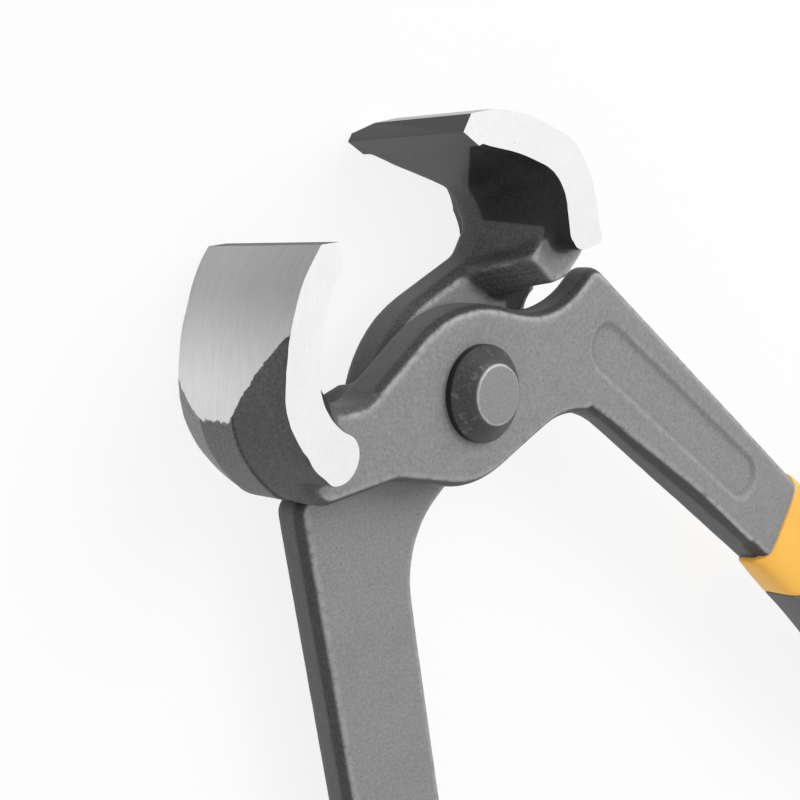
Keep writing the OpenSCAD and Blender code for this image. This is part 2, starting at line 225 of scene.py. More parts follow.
# Pieces
def add_layers(mesh, layers):
    """Values on the mesh's points that its material reads by name."""
    for key, layer in layers.items():
        mesh.attributes.new(key, "FLOAT", "POINT").data.foreach_set("value", layer.astype(np.float32))


def put_in_scene(name, mesh, place, body, node):
    """A piece of the tool, which moves with a body and stands for a CAD node."""
    piece = bpy.data.objects.new(name, mesh)
    bpy.context.scene.collection.objects.link(piece)
    piece.matrix_world = place
    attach(piece, body)
    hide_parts(node)


# Level sets
def local_mesh(node, place):
    """A CAD node's points in a lever's closed frame, in millimetres, and its triangles."""
    mesh = frame["nodes"][node].data
    mesh.calc_loop_triangles()
    points = np.empty(len(mesh.vertices) * 3, np.float32)
    mesh.vertices.foreach_get("co", points)
    triangles = np.empty(len(mesh.loop_triangles) * 3, np.int32)
    mesh.loop_triangles.foreach_get("vertices", triangles)
    back = np.array(place.inverted())
    points = points.reshape(-1, 3) @ back[:3, :3].T + back[:3, 3]
    return (points / MM).astype(np.float32), triangles.reshape(-1, 3).astype(np.uint32)


def level_set(points, triangles, quads, reach):
    """A level set of a closed mesh that knows its distance as far as reach, in millimetres."""
    return vdb.FloatGrid.createLevelSetFromPolygons(
        points, triangles=triangles, quads=quads,
        transform=vdb.createLinearTransform(voxelSize=VOXEL), halfWidth=reach / VOXEL + SPARE_VOXELS)


def sampled(grid):
    """The level set's values on the lever's whole box."""
    values = np.empty(LAST - FIRST + 1, np.float32)
    grid.copyToArray(values, ijk=tuple(int(i) for i in FIRST))
    return values


def axes():
    """The box's coordinates along x, y and z, shaped to combine with its values."""
    rows = [np.arange(FIRST[i], LAST[i] + 1) * VOXEL for i in range(3)]
    return rows[0][:, None, None], rows[1][None, :, None], rows[2][None, None, :]


def blurred(values, spread):
    """A Gaussian blur whose spread is in voxels."""
    reach = max(1, int(math.ceil(BLUR_REACH * spread)))
    weights = np.exp(-0.5 * (np.arange(-reach, reach + 1) / spread) ** 2)
    weights = (weights / weights.sum()).astype(np.float32)
    for axis in range(3):
        padded = np.pad(values, [(reach, reach) if i == axis else (0, 0) for i in range(3)], mode="edge")
        count = values.shape[axis]
        values = sum(w * padded.take(range(i, i + count), axis=axis) for i, w in enumerate(weights))
    return values


def past_sides(values, inside=0.9, run=3):
    """The values beyond the jaw's side faces, carried on by their slope over a run of voxels inside them."""
    z = axes()[2].ravel()
    result = values.copy()
    for sign in (1, -1):
        at = int(np.argmin(np.abs(z - sign * (JAW_HALF - inside))))
        slope = (values[:, :, at] - values[:, :, at - run * sign]) / run
        for k in range(len(z)):
            steps = (k - at) * sign
            if steps > 0:
                result[:, :, k] = values[:, :, at] + slope * steps
    return result


def soft_step(values, low, high):
    """0 below low, 1 above high, and a smooth rise between them."""
    t = np.clip((values - low) / (high - low), 0, 1)
    return t * t * (3 - 2 * t)


def outside(values, span):
    """How far values lie beyond a span, below 0 within it."""
    return np.maximum(span[0] - values, values - span[1])


def unevenness(shape, coarse, seed):
    """Smooth random values from -1 to 1, about one hill per coarse voxels."""
    random = np.random.default_rng(seed)
    small = [int(n / coarse) + 3 for n in shape]
    values = random.uniform(-1, 1, small).astype(np.float32)
    for axis in range(3):
        at = np.arange(shape[axis]) / coarse
        low = at.astype(int)
        part = at - low
        part = (part * part * (3 - 2 * part)).astype(np.float32)
        part = part.reshape([-1 if i == axis else 1 for i in range(3)])
        values = values.take(low, axis=axis) * (1 - part) + values.take(low + 1, axis=axis) * part
    return values


def back_angle(x, y):
    """How far round the hook's back a point lies, in degrees from the middle line."""
    return np.degrees(np.arctan2(y - HOOK[1], x - HOOK[0])) % 360


def back_radius(x, y):
    """How far from the middle of the hook's curve a point lies."""
    return np.hypot(x - HOOK[0], y - HOOK[1])


def brushed_limit(z):
    """Where the grinder stopped on the back of a jaw, in degrees round the hook."""
    rise = BRUSHED_NEAR + (JAW_HALF - z) * BRUSHED_GAIN
    fall = BRUSHED_MOST + (z - BRUSHED_FALL_FROM) * BRUSHED_FALL
    return np.minimum(np.minimum(rise, BRUSHED_MOST), fall)


# Smoothing of the jaw: blurs in voxels, and borders as the places where they start and end
BACK_BLUR = 4.0
HOLLOW_BLUR = 1.9
BACK_RADIUS = (10.4, 11.6)
BACK_FOOT = (14.8, 16.8)
HOLLOW_FOOT = (16.5, 18.5)
TIP_BLEND = (-10.5, -3.0)
PLATE_SIDE = (-9.5, -8.5)
PLATE_END = (22, 24)
STEP_RISE = (3.2, 5.2)
STEP_END = (20.5, 23)


def smoothed_jaw(values):
    """The jaw without its facets: the back smoothed most, the hollow less, the step above the plate not."""
    x, y, z = axes()
    far_out = soft_step(back_radius(x, y), *BACK_RADIUS)
    plate = soft_step(x, *PLATE_SIDE) * (1 - soft_step(y, *PLATE_END))
    step = soft_step(z, *STEP_RISE) * (1 - soft_step(y, *STEP_END))
    in_jaw = (1 - soft_step(x, *TIP_BLEND)) * (1 - plate)
    back = far_out * soft_step(y, *BACK_FOOT) * (1 - step)
    hollow = (1 - far_out) * soft_step(y, *HOLLOW_FOOT)
    even = past_sides(values)
    values = values + (blurred(even, BACK_BLUR) - values) * back * in_jaw
    return values + (blurred(even, HOLLOW_BLUR) - values) * hollow * in_jaw


# The trimmed flash on the jaw's back: how far it stands proud, and its borders in height, in degrees round
# the hook, in degrees past the brushed part and in distance from the hook's middle
FLASH_RISE = 0.16
FLASH_FOOT = (-5.3, -4.7)
FLASH_TOP = (1.2, 1.5)
FLASH_END = (203, 209)
FLASH_START = (-2, 4)
FLASH_RADIUS = (11, 12)


def trimmed_land(values):
    """The trimmed flash stands a little proud of the forged surface below the brushed part."""
    x, y, z = axes()
    turn = back_angle(x, y)
    band = soft_step(z, *FLASH_FOOT) * (1 - soft_step(z, *FLASH_TOP)) * (1 - soft_step(turn, *FLASH_END))
    band = band * soft_step(turn - brushed_limit(z), *FLASH_START)
    band = band * soft_step(back_radius(x, y), *FLASH_RADIUS)
    return values - FLASH_RISE * band


# The rear jaw's ground face near the plate: its border as two lines (x, y and lean), its draft below a
# height, the steepness that scales the cut to millimetres, and the part of the jaw that is cut
LOBE_LINES = ((-17.9, 17.1, 0.2), (-17.3, 20.0, 0.55))
LOBE_DRAFT = 0.35
LOBE_HEIGHT = 10.0
LOBE_STEEPNESS = 1.08
LOBE_FOOT = 6.9
LOBE_INNER = -12.0
LOBE_SPAN = (13.0, 26.0)


def eased_lobe(values):
    """The rear jaw's ground face is narrower at the plate, so that the ridge hides it from the front."""
    x, y, z = axes()
    lower, upper = [left + lean * (y - level) for left, level, lean in LOBE_LINES]
    cut = (x - np.maximum(lower, upper) + LOBE_DRAFT * (z - LOBE_HEIGHT)) / LOBE_STEEPNESS
    place = (z > LOBE_FOOT) & (x < LOBE_INNER) & (y > LOBE_SPAN[0]) & (y < LOBE_SPAN[1])
    return np.where(place, np.maximum(values, cut), values)


# The inner edge of the right handle: its x beside the pivot and its lean, the way its land and its slope face
# (across and up), where the slope starts (inside the edge and above the joint face), the taper by which both
# run out towards the shoulder, and the part of the handle that is cut
INNER_EDGE = 9.47
INNER_LEAN = 0.033
LAND_FACING = (0.973, 0.23)
SLOPE_FACING = (0.79, 0.612)
SLOPE_START = (0.9, 5.2)
TAPER_DEPTH = 1.1
TAPER_FOOT = -50.0
TAPER_LENGTH = 26.0
TAPER_MOST = 2
SLOPE_TOP = -20.0
SLOPE_RIGHT = 16.0


def steeper_slope(values):
    """A leaning land and a wider slope along the inner edge of the right handle."""
    x, y, z = axes()
    edge = INNER_EDGE - INNER_LEAN * y
    land = LAND_FACING[0] * (edge - x) + LAND_FACING[1] * (z - HANDLE_RELIEF)
    slope = SLOPE_FACING[0] * (edge + SLOPE_START[0] - x) + SLOPE_FACING[1] * (z - SLOPE_START[1])
    taper = TAPER_DEPTH * np.clip((y - TAPER_FOOT) / TAPER_LENGTH, 0, TAPER_MOST)
    cut = np.maximum(land, slope) - taper
    return np.where((y < SLOPE_TOP) & (x < SLOPE_RIGHT), np.maximum(values, cut), values)


# The web behind the joint face of the rear lever: the middle and radius of its round edge, and its box
WEB_MIDDLE = (-21.6, 4.95)
WEB_RADIUS = 3.88
WEB_X = (-20.6, -13.5)
WEB_Y = (6.0, 14.6)
WEB_Z = (0.3, 5.5)


def rear_web(values):
    """The web between the rear plate's edge and the lug of its jaw, with a round edge."""
    x, y, z = axes()
    edge = WEB_RADIUS - np.hypot(x - WEB_MIDDLE[0], y - WEB_MIDDLE[1])
    across = np.maximum(outside(x, WEB_X), outside(y, WEB_Y))
    return np.minimum(values, np.maximum(np.maximum(edge, across), outside(z, WEB_Z)))


# The pocket of a handle, whose walls stay crisp: its borders, and its foot
POCKET_LEFT = (12.6, 13.2)
POCKET_RIGHT = (25, 25.6)
POCKET_TOP = (-13, -12.4)
POCKET_FOOT = -66.0


def pocket_area():
    """1 over the pocket of a handle and 0 elsewhere."""
    x, y = axes()[:2]
    across = soft_step(x, *POCKET_LEFT) * (1 - soft_step(x, *POCKET_RIGHT))
    return across * (1 - soft_step(y, *POCKET_TOP)) * (y > POCKET_FOOT)


# The forged skin's hills: height in millimetres and width in voxels, coarse and fine, and where the ground
# part of the jaw's back is free of them (degrees about its limit, and lowest y)
HILLS = (0.016, 9)
DIMPLES = (0.012, 2.5)
GROUND_BORDER = (-4, 4)
GROUND_FOOT = 20.0


def forged_skin(shape, seed):
    """A slight unevenness in millimetres, which the grinder took off the upper part of the jaw's back."""
    x, y, z = axes()
    ground = 1 - soft_step(back_angle(x, y) - brushed_limit(z), *GROUND_BORDER)
    ground = np.where(y > GROUND_FOOT, ground, 0)
    hills = HILLS[0] * unevenness(shape, HILLS[1], seed)
    dimples = DIMPLES[0] * unevenness(shape, DIMPLES[1], seed + 1)
    return (hills + dimples) * (1 - ground)


# The full tip: a point on its underside and the way that faces, its end, and where it takes over
TIP_UNDER = (-2.6, 30.87)
TIP_UNDER_FACING = (0.287, -0.958)
TIP_END = 1.2
TIP_LEFT = (-3.0, -2.4)
TIP_FOOT = (28.5, 29.0)


def full_tip(values):
    """The values with a plain wedge for the tip, which reaches past the bevels that are cut from it."""
    x, y, z = axes()
    under = TIP_UNDER_FACING[0] * (x - TIP_UNDER[0]) + TIP_UNDER_FACING[1] * (y - TIP_UNDER[1])
    tip = np.maximum(np.maximum(y - TIP_TOP, under), x - TIP_END) + 0 * z
    at_tip = soft_step(x, *TIP_LEFT) * soft_step(y, *TIP_FOOT)
    return values * (1 - at_tip) + tip * at_tip


# Blur of a lever's corners, in voxels, and the value of a voxel outside the steel
CORNER_BLUR = 0.7
EMPTY = 1.0


def rounded(crisp):
    """Values with fillets and rounded corners: the level set is grown, shrunk too far and grown back."""
    grown = level_set(*crisp.convertToPolygons(FILLET, 0), FILLET + ROUND)
    shrunk = level_set(*grown.convertToPolygons(-FILLET - ROUND, 0), ROUND)
    return sampled(shrunk) - ROUND


def forged_values(node, place, is_rear, seed):
    """The lever's level set, rounded and uneven as forged, with a full tip, closed at the box's two ends."""
    points, triangles = local_mesh(node, place)
    crisp = level_set(points, triangles, np.empty((0, 4), np.uint32), FILLET)
    soft = rounded(crisp)
    soft = rear_web(soft) if is_rear else steeper_slope(soft)
    soft = blurred(soft + (sampled(crisp) - soft) * pocket_area(), CORNER_BLUR)
    soft = trimmed_land(smoothed_jaw(soft))
    if is_rear:
        soft = eased_lobe(soft)
    soft = soft + forged_skin(soft.shape, seed)
    soft = past_sides(full_tip(soft))
    soft[:, :, [0, -1]] = EMPTY
    return soft


def surface_of(values):
    """Points and quads of a level set."""
    grid = vdb.FloatGrid(float(values.max()))
    grid.copyFromArray(np.ascontiguousarray(values), ijk=tuple(int(i) for i in FIRST))
    grid.transform = vdb.createLinearTransform(voxelSize=VOXEL)
    points, _, quads = grid.convertToPolygons(0.0, 0.0)
    return points, quads


def looked_up(values, points):
    """The values at points between the voxels."""
    at = points / VOXEL - FIRST
    low = np.clip(np.floor(at).astype(int), 0, np.array(values.shape) - 2)
    part = np.clip(at - low, 0, 1)
    total = 0
    for corner in np.ndindex(2, 2, 2):
        weight = np.prod(np.where(corner, part, 1 - part), axis=1)
        total = total + weight * values[tuple((low + corner).T)]
    return total


def form_at(values, points, spread=1.2):
    """How sharply the surface turns at each point, above 0 on outer corners, and how level it lies."""
    soft = blurred(values, spread)
    bent = np.zeros_like(soft)
    rises = []
    for axis in range(3):
        after, before = np.roll(soft, -1, axis), np.roll(soft, 1, axis)
        bent += after + before - 2 * soft
        rises.append(looked_up(after - before, points))
    level = np.abs(rises[2]) / np.sqrt(rises[0] ** 2 + rises[1] ** 2 + rises[2] ** 2 + 1e-9)
    return looked_up(bent, points) / VOXEL ** 2, level


# Levers: the order of a lever's materials, and the angle of an edge that isn't shaded smooth
FORGED, GROUND, TOP_BEVEL, LOW_BEVEL = range(4)
FORGED_SHARP = math.radians(50)
# The ways that the bevels face, how far the lower one reaches from the cutting edge, the small chamfer at
# the far end of the rear jaw's top, and the end of the tang inside the grip
TOP_FACING = Vector((0.735, 0.678, 0))
LOW_FACING = Vector((0.6607, -0.7507, 0))
LOW_REACH = 14.0
CHAMFER = Vector((-1.8, TIP_TOP, 6.8))
CHAMFER_FACING = Vector((0, 0.966, 0.261))
TANG_END = Vector((0, -73.4, 0))
# Farther than any point of a lever
ANYWHERE = 1000.0
# How sharply a worn edge and a crease, which gets painted shade, turn, and how level an edge's face, an
# upright land and a face lie
EDGE_TURN = (0.22, 0.95)
EDGE_LEVEL = (0.72, 0.86)
CREASE_SHADE_TURN = (0.2, 0.9)
UPRIGHT_LEVEL = (0.28, 0.42)
FACE_LEVEL = (0.7, 0.93)


def cut_flat(shape, point, normal, slot, reach=ANYWHERE):
    """Cut off what lies beyond a plane, as far as reach from the point, and close it with a flat face."""
    verts = [v for v in shape.verts if (v.co - point).length < reach]
    inside = set(verts)
    edges = [e for e in shape.edges if all(v in inside for v in e.verts)]
    faces = [f for f in shape.faces if all(v in inside for v in f.verts)]
    cut = bmesh.ops.bisect_plane(
        shape, geom=verts + edges + faces, dist=1e-6, plane_co=point, plane_no=normal, clear_outer=True)
    border = [e for e in cut["geom_cut"] if isinstance(e, bmesh.types.BMEdge)]
    for face in bmesh.ops.edgeloop_fill(shape, edges=border)["faces"]:
        face.material_index = slot
        face.smooth = False
        if face.normal.dot(normal) < 0:
            face.normal_flip()


def ground_mesh(name, values, is_rear):
    """The mesh of a lever's level set, with its bevels, side faces and tang cut flat."""
    points, quads = surface_of(values)
    mesh = bpy.data.meshes.new(name)
    mesh.from_pydata(points.astype(float).tolist(), [], quads[:, ::-1].tolist())
    shape = bmesh.new()
    shape.from_mesh(mesh)
    for face in shape.faces:
        face.smooth = True
    cut_flat(shape, EDGE, TOP_FACING, TOP_BEVEL)
    cut_flat(shape, EDGE, LOW_FACING, LOW_BEVEL, LOW_REACH)
    if is_rear:
        cut_flat(shape, CHAMFER, CHAMFER_FACING, GROUND)
    for side in (Vector((0, 0, 1)), Vector((0, 0, -1))):
        cut_flat(shape, side * JAW_HALF, side, GROUND)
    cut_flat(shape, TANG_END, Vector((0, -1, 0)), FORGED)
    shape.to_mesh(mesh)
    shape.free()
    return mesh


def lever_layers(mesh, values):
    """Where a lever's surface is a worn edge, a crease for painted shade, an upright land or a level face."""
    at = np.empty(len(mesh.vertices) * 3, np.float32)
    mesh.vertices.foreach_get("co", at)
    bent, level = form_at(values, at.reshape(-1, 3))
    return {
        "edge": soft_step(bent, *EDGE_TURN) * soft_step(level, *EDGE_LEVEL),
        "crease": soft_step(-bent, *CREASE_SHADE_TURN),
        "upright": 1 - soft_step(level, *UPRIGHT_LEVEL),
        "flat": soft_step(level, *FACE_LEVEL),
    }


def lever(name, node, place, body, is_rear, materials, seed):
    """One forged lever with its ground side faces and bevels."""
    values = forged_values(node, place, is_rear, seed)
    mesh = ground_mesh(name, values, is_rear)
    add_layers(mesh, lever_layers(mesh, values))
    mesh.transform(Matrix.Scale(MM, 4))
    for material in materials:
        mesh.materials.append(material)
    mesh.set_sharp_from_angle(angle=FORGED_SHARP)
    put_in_scene(name, mesh, place, body, node)


# Tones of the forged steel, from the darkest to the palest of each surface
FACE_TONE = (0.222, 0.262)
# The slopes' dark tone is painted shade
SLOPE_SHADE_TONE = (0.032, 0.06)
LAND_TONE = (0.085, 0.14)
CHARCOAL_TONE = (0.052, 0.095)
FLASH_TONE = (0.12, 0.165)
FAR_TONE = (0.25, 0.32)
# The hollow's near-black tone is partly its scale and partly painted shade
HOLLOW_SCALE_AND_SHADE_TONE = (0.012, 0.022)
ROOT_TONE = (0.075, 0.125)
RIDGE_TONE = (0.08, 0.125)
UNDERCUT_TONE = (0.105, 0.15)
# The throat's near-black tone is painted shadow
THROAT_SHADOW_TONE = (0.01, 0.022)
# The brushed back: pale brushed steel whose spread of tone is painted reflection
BRUSHED_AND_SHEEN_TONE = (0.36, 0.7)
# The flash line's tone is painted shadow
FLASH_SHADOW_TONE = 0.018
WORN_TONE = 0.46
# The creases' tone is painted shade
CREASE_SHADE_TONE = 0.04

# Borders of the steel's surfaces: each pair is where a surface starts to show and where it shows fully
NECK_Y = (-8.0, 2.0)
BACK_OUT = (11.2, 12.2)
BACK_TURN = (210.0, 206.0)
JAW_FOOT_Y = (13.5, 15.0)
JAW_SIDE_X = (-8.5, -9.5)
JAW_TOP_Y = (21.0, 22.0)
FAR_Z = (-4.9, -5.3)
ROOT_Z = (-6.9, -6.6)
RIDGE_X = (-9.5, -10.5)
UNDERCUT_X = (-12.4, -11.4)
UNDERCUT_Y = (20.5, 22.0)
BRUSHED_OUT = (10.6, 11.0)
BRUSHED_Y = (23.0, 24.0)
# The turn round the hook over which the brushed back's painted reflection grows paler
BRUSHED_SHADE = (80.0, 152.0)
# The painted shadow line along the trimmed flash, and the fuller ridge: their heights and the softness of
# their borders
FLASH_SHADOW_LINE = (1.2, 1.62, 0.1)
RIDGE = (1.5, 5.4, 0.25)
# The hollow's root ends at a y that rises with z; the ground undercut starts at a z that falls with x
ROOT_Y = 19.5
ROOT_RISE = 0.195
UNDERCUT_AT = (-1.85, -9.56)
UNDERCUT_FALL = -1.13
# The painted shadow in the throat under the rear lever's lug: its middle and radius, and the borders of the
# wall beside it
THROAT = (-15.0, 14.5)
THROAT_RADIUS = 6.1
THROAT_SOFT = 0.4
THROAT_X = (-13.5, -14.5)
THROAT_FOOT_Y = (4.5, 5.5)
THROAT_TOP_Y = (15.0, 14.0)
THROAT_Z = (-0.8, -0.4)


# Materials of the steel
def zone(s, value, low, high, soft):
    """1 between two values, with a soft border."""
    return s.times(s.ramp(value, low - soft, low + soft), s.ramp(value, high + soft, high - soft))


def from_middle(s, x, y, middle):
    """How far across and up a point lies from a middle, and its distance."""
    across = s.minus(x, middle[0])
    up = s.minus(y, middle[1])
    return across, up, s.math("SQRT", s.plus(s.times(across, across), s.times(up, up)))


def hook_place(s, x, y):
    """How far round the hook a point lies, in degrees, and how far out from the middle of its curve."""
    across, up, out = from_middle(s, x, y, HOOK)
    turn = s.times(s.math("ARCTAN2", up, across), 180 / math.pi)
    return s.math("FLOORED_MODULO", turn, 360.0), out


def brushed_zone(s, z, turn, ragged):
    """The part of the jaw's back that the grinder reached: brushed_limit with a ragged border."""
    rise = s.plus(s.times(s.minus(JAW_HALF, z), BRUSHED_GAIN), BRUSHED_NEAR)
    fall = s.plus(s.times(s.minus(z, BRUSHED_FALL_FROM), BRUSHED_FALL), BRUSHED_MOST)
    limit = s.math("MINIMUM", s.math("MINIMUM", rise, BRUSHED_MOST), fall)
    limit = s.plus(limit, s.ramp(ragged, 0.2, 0.8, -1.2, 1.2))
    return s.ramp(s.minus(limit, turn), -0.5, 0.5)


def back_tone(s, z, fine):
    """The dark back of a jaw below its brushed part, with the trimmed flash, a painted shadow line along its
    upper edge and the paler far side.
    """
    tone = s.mix(s.ramp(z, *reversed(FLASH_TOP)), s.mix(fine, *CHARCOAL_TONE), s.mix(fine, *FLASH_TONE))
    tone = s.mix(s.ramp(z, *FAR_Z), tone, s.mix(fine, *FAR_TONE))
    # Painted shadow: a dark line where the trimmed flash stands proud
    line = s.times(zone(s, z, *FLASH_SHADOW_LINE), s.ramp(fine, 0.32, 0.48))
    return s.mix(s.times(line, 0.85), tone, FLASH_SHADOW_TONE)


def hollow_tone(s, x, y, z, fine):
    """The hollow of a jaw: near black, partly its dark scale and partly painted shade, with a greyer root,
    the fuller ridge and the ground undercut.
    """
    wall = s.plus(s.times(z, ROOT_RISE), ROOT_Y)
    root = s.times(s.ramp(s.minus(wall, y), -0.2, 0.2), s.ramp(z, *ROOT_Z))
    # The hollow's near-black tone is partly dark scale and partly painted shade
    tone = s.mix(root, s.mix(fine, *HOLLOW_SCALE_AND_SHADE_TONE), s.mix(fine, *ROOT_TONE))
    ridge = s.times(zone(s, z, *RIDGE), s.ramp(x, *RIDGE_X))
    tone = s.mix(ridge, tone, s.mix(fine, *RIDGE_TONE))
    border = s.plus(s.times(s.minus(x, UNDERCUT_AT[0]), UNDERCUT_FALL), UNDERCUT_AT[1])
    undercut = s.times(s.ramp(s.minus(z, border), -0.15, 0.15), s.ramp(x, *UNDERCUT_X))
    undercut = s.times(undercut, s.ramp(y, *UNDERCUT_Y))
    return s.mix(undercut, tone, s.mix(fine, *UNDERCUT_TONE))


def throat_shadow_area(s, x, y, z):
    """The throat under the rear lever's lug and the wall beside it, which get a painted shadow."""
    far = from_middle(s, x, y, THROAT)[2]
    wall = s.times(s.ramp(x, *THROAT_X), s.ramp(y, *THROAT_FOOT_Y))
    area = s.math("MAXIMUM", s.ramp(far, THROAT_RADIUS + THROAT_SOFT, THROAT_RADIUS - THROAT_SOFT), wall)
    return s.times(s.times(area, s.ramp(y, *THROAT_TOP_Y)), s.ramp(z, *THROAT_Z))


def forged_steel(name, neck, throat):
    """Phosphated forging: grey faces, slopes and creases darkened with painted shade, trimmed lands, worn
    corners and the jaw's brushed back, whose paling is partly painted reflection.

    The painted shade on the slopes beside the pivot is paler by the factor neck, and throat says how much
    painted shadow the throat has.
    """
    s = Shader(name)
    at = s.place()
    x, y, z = s.parts(at)
    turn, out = hook_place(s, x, y)
    fine = s.ramp(s.noise(at, scale=2.6, detail=5.0, rough=0.75), 0.33, 0.67)
    mottle = s.noise(at, scale=1.0)
    broad = s.noise(at, scale=0.16, detail=2.0)
    speck = s.ramp(s.noise(at, scale=3.6, detail=2.0), 0.64, 0.71)
    streak = s.noise(s.stretched(at, turn=0, scale=(0.6, 0.6, 4.0)), scale=1.0, detail=4.0)
    grain = s.noise(s.stretched(at, turn=0, scale=(0.3, 0.3, 8.0)), scale=1.0, detail=4.0)
    flat = s.attribute("flat")

    face = s.times(s.mix(broad, *FACE_TONE), s.mix(mottle, 0.92, 1.08))
    # Painted shade: surfaces that are not level, the slopes, get a dark tone in place of their shade; beside
    # the pivot it is paler by neck
    slope = s.times(s.mix(fine, *SLOPE_SHADE_TONE), s.mix(s.ramp(y, *NECK_Y), 1.0, neck))
    tone = s.mix(flat, slope, face)
    tone = s.mix(s.attribute("upright"), tone, s.mix(streak, *LAND_TONE))
    back = s.times(s.ramp(out, *BACK_OUT), s.ramp(turn, *BACK_TURN))
    jaw = s.times(s.ramp(y, *JAW_FOOT_Y), s.ramp(x, *JAW_SIDE_X))
    jaw = s.times(s.math("MAXIMUM", jaw, s.ramp(y, *JAW_TOP_Y)), s.minus(1.0, flat))
    tone = s.mix(jaw, tone, s.mix(back, hollow_tone(s, x, y, z, fine), back_tone(s, z, fine)))
    # Painted shadow in the throat under the rear lever's lug, scaled by throat
    tone = s.mix(s.times(throat_shadow_area(s, x, y, z), throat), tone, s.mix(fine, *THROAT_SHADOW_TONE))
    tone = s.times(s.times(tone, s.mix(fine, 0.8, 1.2)), s.mix(speck, 1.0, 0.5))
    worn = s.times(s.attribute("edge"), s.ramp(mottle, 0.3, 0.55))
    tone = s.mix(s.times(worn, s.mix(jaw, 0.68, 0.1)), tone, WORN_TONE)
    # Painted shade darkens the creases
    tone = s.mix(s.times(s.attribute("crease"), 0.35), tone, CREASE_SHADE_TONE)

    brushed = s.times(brushed_zone(s, z, turn, mottle), s.ramp(out, *BRUSHED_OUT))
    brushed = s.times(brushed, s.ramp(y, *BRUSHED_Y))
    # Partly painted reflection: the brushed back gets paler as it turns round the hook and towards z -10
    bright = s.times(s.mix(s.ramp(turn, *BRUSHED_SHADE), *BRUSHED_AND_SHEEN_TONE), s.mix(grain, 0.78, 1.22))
    bright = s.times(bright, s.ramp(z, 10.0, -10.0, 0.94, 1.16))
    tone = s.mix(brushed, tone, bright)

    rough = s.mix(brushed, s.mix(fine, 0.5, 0.66), 0.4)
    metal = s.mix(brushed, 0.2, 0.7)
    height = s.mix(brushed, fine, s.times(grain, 0.4))
    return s.finish(s.grey(tone), metal, rough, s.bump(height, strength=0.3, distance=0.05 * MM))


def ground_steel(name, turn, dull, shiny):
    """Ground steel between two tones, with fine grinding scratches in one direction."""
    s = Shader(name)
    at = s.place()
    lines = s.noise(s.stretched(at, turn, scale=(0.3, 7.0, 7.0)), scale=1.0, detail=5.0, rough=0.7)
    broad = s.noise(at, scale=0.25, detail=2.0)
    speck = s.ramp(s.noise(at, scale=3.4, detail=2.0), 0.71, 0.76)
    tone = s.times(s.mix(lines, dull, shiny), s.mix(broad, 0.96, 1.04))
    tone = s.times(tone, s.mix(speck, 1.0, 0.55))
    bump = s.bump(lines, strength=0.25, distance=0.03 * MM)
    return s.finish(s.grey(tone), 0.15, s.mix(lines, 0.45, 0.6), bump)


def rivet_steel():
    """The rivet: a turned grey head with a flat top, a painted highlight on its rim, a cone darkened with
    painted shade and a painted shadow on its upright foot.
    """
    s = Shader("rivet_steel")
    at = s.place()
    fine = s.ramp(s.noise(at, scale=2.8, detail=5.0, rough=0.7), 0.33, 0.67)
    scuff = s.ramp(s.noise(at, scale=0.9, detail=4.0, rough=0.6), 0.56, 0.7)
    # Painted shade: the cone is given a much darker tone than the flat top
    cone = s.mix(s.times(scuff, 0.5), s.mix(fine, 0.032, 0.062), 0.17)
    tone = s.mix(s.attribute("top"), cone, s.mix(fine, 0.2, 0.27))
    # Painted highlight on the rim
    tone = s.mix(s.times(s.attribute("rim"), s.mix(fine, 0.55, 0.9)), tone, 0.55)
    # Painted shadow on the upright foot
    tone = s.mix(s.attribute("foot"), tone, 0.02)
    bump = s.bump(fine, strength=0.3, distance=0.04 * MM)
    return s.finish(s.grey(tone), 0.45, s.mix(fine, 0.4, 0.55), bump)


# Materials of the grips
def hard_plastic():
    """The orange-yellow hard component of the grips."""
    s = Shader("grip_hard")
    at = s.place()
    fine = s.noise(at, scale=2.2, detail=4.0)
    deep = (0.95, 0.46, 0.045, 1)
    pale = (0.99, 0.56, 0.075, 1)
    color = s.mix_color(s.noise(at, scale=0.2, detail=2.0), deep, pale)
    return s.finish(color, 0.0, s.mix(fine, 0.32, 0.45), s.bump(fine, strength=0.12, distance=0.04 * MM))


def soft_plastic():
    """The dark grey soft component of the grips, with a fine matt grain."""
    s = Shader("grip_soft")
    grain = s.noise(s.place(), scale=4.5)
    tone = s.mix(grain, 0.11, 0.165)
    bump = s.bump(grain, strength=0.3, distance=0.06 * MM)
    return s.finish(s.grey(tone), 0.0, s.mix(grain, 0.6, 0.75), bump)


# Rivet: the gap under its heads, their height, the radii of their flat top, foot and shank, the height of the
# upright foot, and the number of sides
HEAD_GAP = 0.02
HEAD_HEIGHT = 3.25
TOP_RADIUS = 3.825
FOOT_RADIUS = 6.3
SHANK_RADIUS = 4.0
FOOT_HEIGHT = 0.9
RIVET_SIDES = 128
# Rings on the flat top, steps (out and up) round the rim and over the foot's edge, and rings down the cone
TOP_RINGS = (0.0, 1.8, 3.3)
RIM_STEPS = ((-0.275, 0.0), (-0.105, -0.03), (0.035, -0.13), (0.155, -0.27))
FOOT_STEPS = ((-0.1, 0.09), (-0.03, 0.0), (0.0, -0.1), (0.0, -FOOT_HEIGHT))
CONE_SHARES = (0.2, 0.35, 0.5, 0.65, 0.8, 0.9)
# Borders of the top's colour, of the painted highlight on the rim and of the painted shadow on the foot, as
# radii
TOP_BORDER = (3.6, 3.8)
RIM_HIGHLIGHT_INNER = (3.6, 3.75)
RIM_HIGHLIGHT_OUTER = (3.85, 4.0)
FOOT_SHADOW_BORDER = (6.27, FOOT_RADIUS)
# The angle of an edge that isn't shaded smooth, on rivet and grips
MOULDED_SHARP = math.radians(55)


